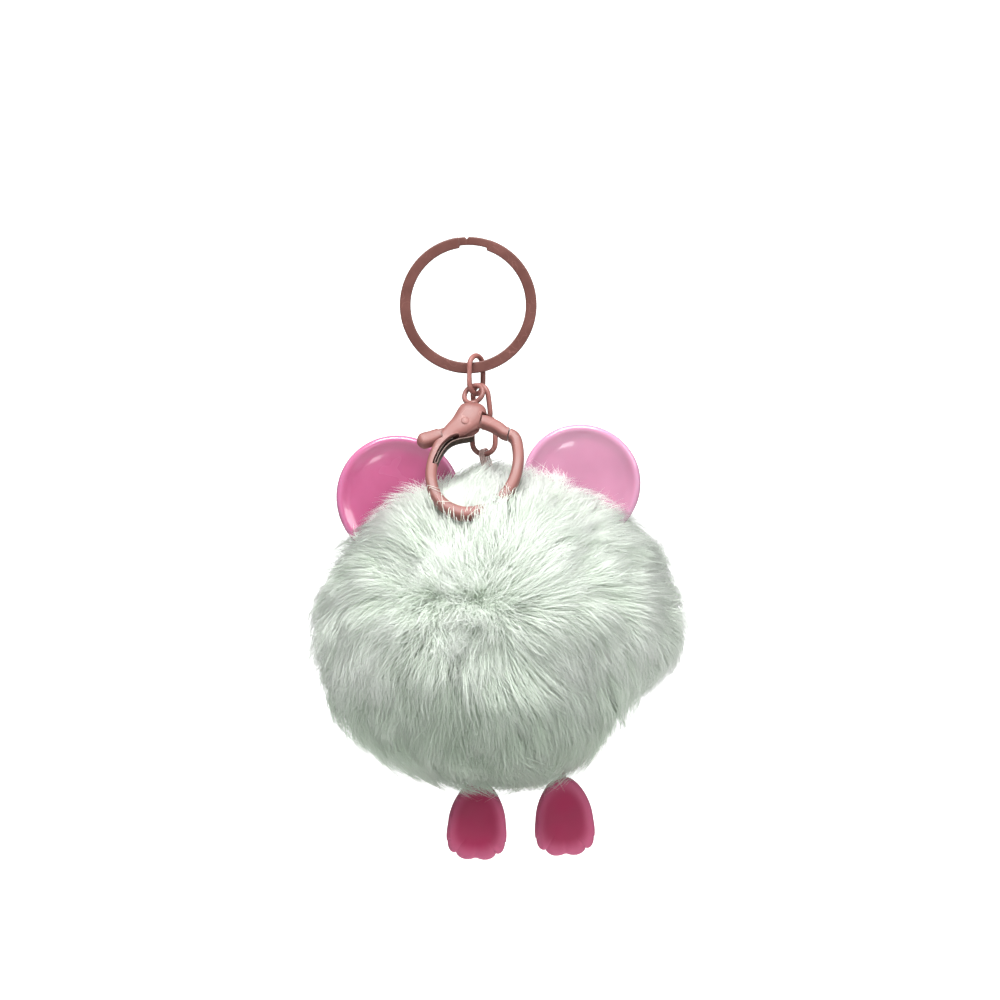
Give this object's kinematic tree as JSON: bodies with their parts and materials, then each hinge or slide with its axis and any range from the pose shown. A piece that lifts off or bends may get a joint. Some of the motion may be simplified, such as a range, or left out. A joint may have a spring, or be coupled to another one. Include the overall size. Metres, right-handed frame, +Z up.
{
  "type": "plush keychain",
  "caption": "Hanging keychain: a fur ball with soft plastic ears and feet, on a short chain with a lobster clasp and a split ring.",
  "frame": {"origin": "inside of the split ring's top, where a hook or a finger carries the keychain", "axes": "+Z up as it hangs; -Y out of the front, where the clasp lies; +X to the right seen from the front"},
  "size_m": [0.0738, 0.0619, 0.1365],
  "materials": {
    "ring_paint": "satin",
    "link_paint": "satin",
    "clasp_paint": "gloss",
    "spring_steel": "satin",
    "thread": "matte",
    "nylon": "matte",
    "fur": "matte",
    "knit": "matte",
    "fibre": "matte",
    "ear_pvc": "gloss",
    "foot_pvc": "satin"
  },
  "bodies": {
    "split_ring": {"split_ring": "ring_paint"},
    "link_upper": {"link_upper": "link_paint"},
    "clasp_eye": {"clasp_swivel_eye": "clasp_paint"},
    "clasp": {"clasp_body": "clasp_paint", "clasp_pivot_pin": "clasp_paint", "clasp_spring": "spring_steel"},
    "gate": {"clasp_gate_lever": "clasp_paint"},
    "link_middle": {"link_middle": "link_paint"},
    "link_lower": {"link_lower": "link_paint"},
    "ball": {"fur_pile": "fur", "fur_backing": "knit", "fibre_filling": "fibre", "anchor_disc": "nylon", "hanging_thread": "thread", "gathering_thread": "thread", "ear_left": "ear_pvc", "ear_right": "ear_pvc", "ear_thread_left": "thread", "ear_thread_right": "thread", "foot_thread_left": "thread", "foot_thread_right": "thread"},
    "foot_left": {"foot_left": "foot_pvc"},
    "foot_right": {"foot_right": "foot_pvc"}
  },
  "joints": [
    {"name": "ring_slide", "type": "hinge", "parent": "split_ring", "child": "link_upper", "pos_m": [0, 0, -0.0126], "axis": [0, 1, 0], "continuous": true},
    {"name": "clasp_swing", "type": "hinge", "parent": "link_upper", "child": "clasp_eye", "pos_m": [0.00119, -0.00052, -0.0309], "axis": [-1, 0, 0], "range_deg": [0, 60]},
    {"name": "clasp_swivel", "type": "hinge", "parent": "clasp_eye", "child": "clasp", "pos_m": [0.00119, -0.00184, -0.03216], "axis": [0, 0.5, 0.866], "range_deg": [-20, 20]},
    {"name": "clasp_gate", "type": "hinge", "parent": "clasp", "child": "gate", "pos_m": [-0.00062, -0.00589, -0.03917], "axis": [0, 0.866, -0.5], "range_deg": [0, 25], "stiffness_Nm_per_rad": 0.008, "springref_deg": -20.05},
    {"name": "link_middle_swing", "type": "hinge", "parent": "link_upper", "child": "link_middle", "pos_m": [0.00243, 0.00093, -0.03019], "axis": [1, 0, 0], "range_deg": [0, 20]},
    {"name": "link_lower_swing", "type": "hinge", "parent": "link_middle", "child": "link_lower", "pos_m": [0.00343, 0.00093, -0.03691], "axis": [1, 0, 0], "range_deg": [0, 20]},
    {"name": "ball_swing", "type": "hinge", "parent": "link_lower", "child": "ball", "pos_m": [0.00343, 0.00093, -0.04525], "axis": [1, 0, 0], "range_deg": [0, 30]},
    {"name": "foot_left_swing", "type": "hinge", "parent": "ball", "child": "foot_left", "pos_m": [0.00233, 0.00123, -0.11425], "axis": [1, 0, 0], "range_deg": [-20, 20]},
    {"name": "foot_right_swing", "type": "hinge", "parent": "ball", "child": "foot_right", "pos_m": [0.02053, 0.00123, -0.11335], "axis": [1, 0, 0], "range_deg": [-20, 20]}
  ]
}
